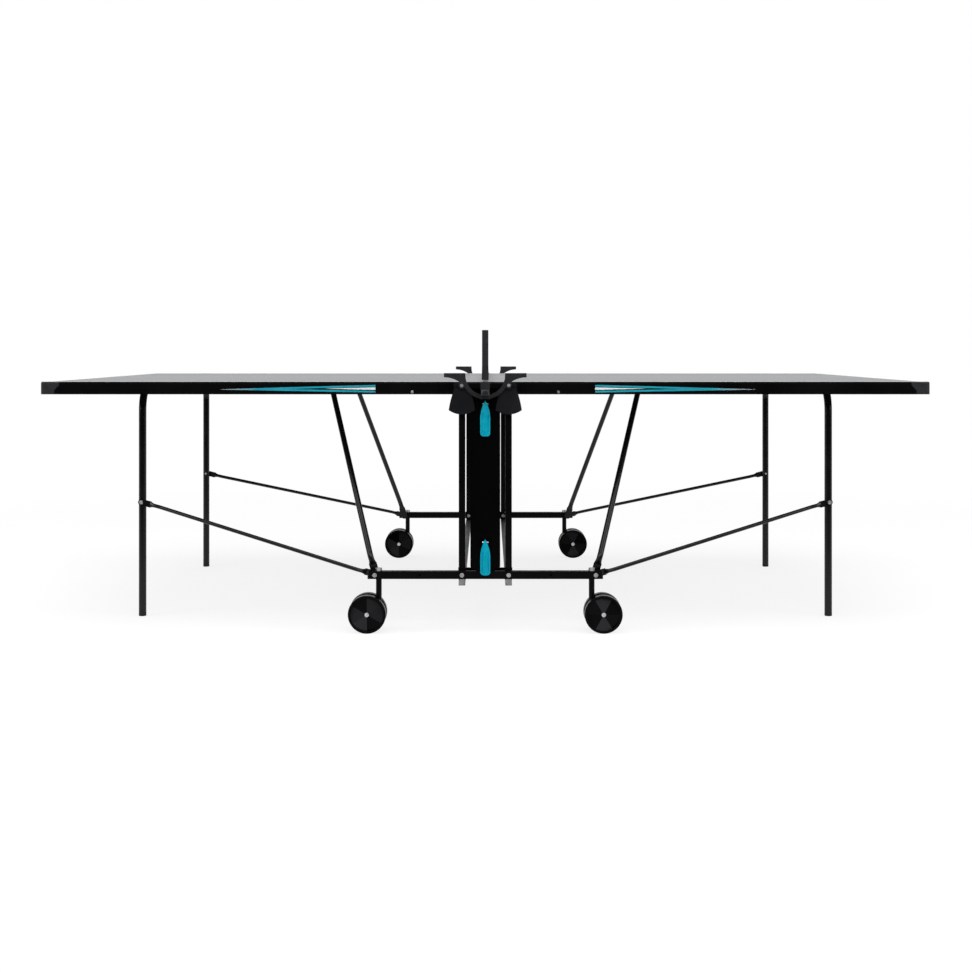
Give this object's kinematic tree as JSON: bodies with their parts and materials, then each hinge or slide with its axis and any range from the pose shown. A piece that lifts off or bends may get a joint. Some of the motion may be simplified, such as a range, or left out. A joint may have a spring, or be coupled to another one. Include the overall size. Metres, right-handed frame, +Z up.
{
  "type": "ping pong table",
  "caption": "Folding outdoor table tennis table on a wheeled central chassis, with net, end legs, sliding shoes and release levers.",
  "frame": {"origin": "on the floor under the middle of the net", "axes": "+X along the length of the table, -Y towards the viewer of the picture, +Z up"},
  "size_m": [2.74, 1.8826, 0.917],
  "materials": {
    "melamine_board": "satin anthracite playing surface with white lines",
    "coated_steel_apron": "satin black powder coat",
    "coated_steel_tube": "satin black powder coat",
    "black_plastic": "fine moulded grain",
    "turquoise_plastic": "moulded, half gloss",
    "zinc_plated_steel": "bright zinc plating",
    "grey_plastic": "matt",
    "wheel_plastic": "satin moulded",
    "net_cloth": "knotted polyester",
    "net_tape": "woven white tape"
  },
  "bodies": {
    "chassis": {"near_side_bar": "coated_steel_tube", "far_side_bar": "coated_steel_tube", "bar_end_caps": "black_plastic", "near_guide_posts": "coated_steel_tube", "far_guide_posts": "coated_steel_tube", "cross_tubes": "coated_steel_tube", "cross_tube_plugs": "grey_plastic", "post_ties": "coated_steel_tube", "near_bridge": "black_plastic", "far_bridge": "black_plastic", "near_centre_panel": "black_plastic", "far_centre_panel": "black_plastic", "net_clamps": "zinc_plated_steel", "near_net_post": "black_plastic", "far_net_post": "black_plastic", "net_mesh": "net_cloth", "net_tape": "net_tape", "chassis_fasteners": "zinc_plated_steel"},
    "left_shoes": {"left_shoes": "black_plastic"},
    "left_half": {"left_board": "melamine_board", "left_apron": "coated_steel_apron", "left_corner_guards": "black_plastic", "left_hinge_blocks": "black_plastic", "left_fold_pins": "black_plastic", "left_apron_screws": "zinc_plated_steel"},
    "left_legs": {"left_leg_frame": "coated_steel_tube", "left_leg_feet": "black_plastic"},
    "left_support": {"left_support": "coated_steel_tube"},
    "left_braces": {"left_braces": "coated_steel_tube", "left_brace_bolts": "zinc_plated_steel"},
    "right_shoes": {"right_shoes": "black_plastic"},
    "right_half": {"right_board": "melamine_board", "right_apron": "coated_steel_apron", "right_corner_guards": "black_plastic", "right_hinge_blocks": "black_plastic", "right_fold_pins": "black_plastic", "right_apron_screws": "zinc_plated_steel"},
    "right_legs": {"right_leg_frame": "coated_steel_tube", "right_leg_feet": "black_plastic"},
    "right_support": {"right_support": "coated_steel_tube"},
    "right_braces": {"right_braces": "coated_steel_tube", "right_brace_bolts": "zinc_plated_steel"},
    "near_left_caster": {"near_left_caster_fork": "coated_steel_tube"},
    "near_left_wheels": {"near_left_wheels": "wheel_plastic", "near_left_axle": "zinc_plated_steel"},
    "near_right_caster": {"near_right_caster_fork": "coated_steel_tube"},
    "near_right_wheels": {"near_right_wheels": "wheel_plastic", "near_right_axle": "zinc_plated_steel"},
    "near_upper_lever": {"near_upper_lever": "turquoise_plastic"},
    "near_lower_lever": {"near_lower_lever": "turquoise_plastic"},
    "near_net_knob": {"near_net_knob": "black_plastic"},
    "far_left_caster": {"far_left_caster_fork": "coated_steel_tube"},
    "far_left_wheels": {"far_left_wheels": "wheel_plastic", "far_left_axle": "zinc_plated_steel"},
    "far_right_caster": {"far_right_caster_fork": "coated_steel_tube"},
    "far_right_wheels": {"far_right_wheels": "wheel_plastic", "far_right_axle": "zinc_plated_steel"},
    "far_upper_lever": {"far_upper_lever": "turquoise_plastic"},
    "far_lower_lever": {"far_lower_lever": "turquoise_plastic"},
    "far_net_knob": {"far_net_knob": "black_plastic"}
  },
  "joints": [
    {"name": "left_shoe_slide", "type": "slide", "parent": "chassis", "child": "left_shoes", "axis": [0, 0, -1], "range_m": [0, 0.4535]},
    {"name": "left_fold", "type": "hinge", "parent": "left_shoes", "child": "left_half", "pos_m": [-0.09, 0, 0.748], "axis": [0, 1, 0], "range_deg": [0, 90]},
    {"name": "left_leg_fold", "type": "hinge", "parent": "left_half", "child": "left_legs", "pos_m": [-1.106, 0, 0.738], "axis": [0, -1, 0], "range_deg": [0, 84.21]},
    {"name": "left_support_fold", "type": "hinge", "parent": "left_half", "child": "left_support", "pos_m": [-0.508, 0, 0.735], "axis": [0, -1, 0], "range_deg": [0, 49.6]},
    {"name": "left_brace_fold", "type": "hinge", "parent": "left_legs", "child": "left_braces", "pos_m": [-1.106, 0, 0.368], "axis": [0, 1, 0], "range_deg": [0, 84.52]},
    {"name": "right_shoe_slide", "type": "slide", "parent": "chassis", "child": "right_shoes", "axis": [0, 0, -1], "range_m": [0, 0.4535]},
    {"name": "right_fold", "type": "hinge", "parent": "right_shoes", "child": "right_half", "pos_m": [0.09, 0, 0.748], "axis": [0, -1, 0], "range_deg": [0, 90]},
    {"name": "right_leg_fold", "type": "hinge", "parent": "right_half", "child": "right_legs", "pos_m": [1.106, 0, 0.738], "axis": [0, 1, 0], "range_deg": [0, 84.21]},
    {"name": "right_support_fold", "type": "hinge", "parent": "right_half", "child": "right_support", "pos_m": [0.508, 0, 0.735], "axis": [0, 1, 0], "range_deg": [0, 49.6]},
    {"name": "right_brace_fold", "type": "hinge", "parent": "right_legs", "child": "right_braces", "pos_m": [1.106, 0, 0.368], "axis": [0, -1, 0], "range_deg": [0, 84.52]},
    {"name": "near_left_swivel", "type": "hinge", "parent": "chassis", "child": "near_left_caster", "pos_m": [-0.324, -0.807, 0.11], "axis": [0, 0, 1], "continuous": true},
    {"name": "near_left_wheel_spin", "type": "hinge", "parent": "near_left_caster", "child": "near_left_wheels", "pos_m": [-0.358, -0.807, 0.0575], "axis": [0, 1, 0], "continuous": true},
    {"name": "near_right_swivel", "type": "hinge", "parent": "chassis", "child": "near_right_caster", "pos_m": [0.324, -0.807, 0.11], "axis": [0, 0, 1], "continuous": true},
    {"name": "near_right_wheel_spin", "type": "hinge", "parent": "near_right_caster", "child": "near_right_wheels", "pos_m": [0.358, -0.807, 0.0575], "axis": [0, 1, 0], "continuous": true},
    {"name": "near_upper_lever_pull", "type": "hinge", "parent": "chassis", "child": "near_upper_lever", "pos_m": [0, -0.8255, 0.695], "axis": [-1, 0, 0], "range_deg": [0, 25], "stiffness_Nm_per_rad": 1},
    {"name": "near_lower_lever_pull", "type": "hinge", "parent": "chassis", "child": "near_lower_lever", "pos_m": [0, -0.8255, 0.274], "axis": [-1, 0, 0], "range_deg": [0, 25], "stiffness_Nm_per_rad": 1},
    {"name": "near_net_knob_turn", "type": "hinge", "parent": "chassis", "child": "near_net_knob", "pos_m": [0, -0.926, 0.73], "axis": [0, -1, 0], "continuous": true},
    {"name": "far_left_swivel", "type": "hinge", "parent": "chassis", "child": "far_left_caster", "pos_m": [-0.324, 0.807, 0.11], "axis": [0, 0, 1], "continuous": true},
    {"name": "far_left_wheel_spin", "type": "hinge", "parent": "far_left_caster", "child": "far_left_wheels", "pos_m": [-0.358, 0.807, 0.0575], "axis": [0, 1, 0], "continuous": true},
    {"name": "far_right_swivel", "type": "hinge", "parent": "chassis", "child": "far_right_caster", "pos_m": [0.324, 0.807, 0.11], "axis": [0, 0, 1], "continuous": true},
    {"name": "far_right_wheel_spin", "type": "hinge", "parent": "far_right_caster", "child": "far_right_wheels", "pos_m": [0.358, 0.807, 0.0575], "axis": [0, 1, 0], "continuous": true},
    {"name": "far_upper_lever_pull", "type": "hinge", "parent": "chassis", "child": "far_upper_lever", "pos_m": [0, 0.8255, 0.695], "axis": [1, 0, 0], "range_deg": [0, 25], "stiffness_Nm_per_rad": 1},
    {"name": "far_lower_lever_pull", "type": "hinge", "parent": "chassis", "child": "far_lower_lever", "pos_m": [0, 0.8255, 0.274], "axis": [1, 0, 0], "range_deg": [0, 25], "stiffness_Nm_per_rad": 1},
    {"name": "far_net_knob_turn", "type": "hinge", "parent": "chassis", "child": "far_net_knob", "pos_m": [0, 0.926, 0.73], "axis": [0, 1, 0], "continuous": true}
  ],
  "couplings": [
    {"joint": "left_shoe_slide", "follows": "left_fold", "m_per_rad": 0.28867},
    {"joint": "left_leg_fold", "follows": "left_fold", "ratio": 0.9356},
    {"joint": "left_support_fold", "follows": "left_fold", "ratio": 0.55103},
    {"joint": "left_brace_fold", "follows": "left_fold", "ratio": 0.93902},
    {"joint": "right_shoe_slide", "follows": "right_fold", "m_per_rad": 0.28867},
    {"joint": "right_leg_fold", "follows": "right_fold", "ratio": 0.9356},
    {"joint": "right_support_fold", "follows": "right_fold", "ratio": 0.55103},
    {"joint": "right_brace_fold", "follows": "right_fold", "ratio": 0.93902}
  ]
}
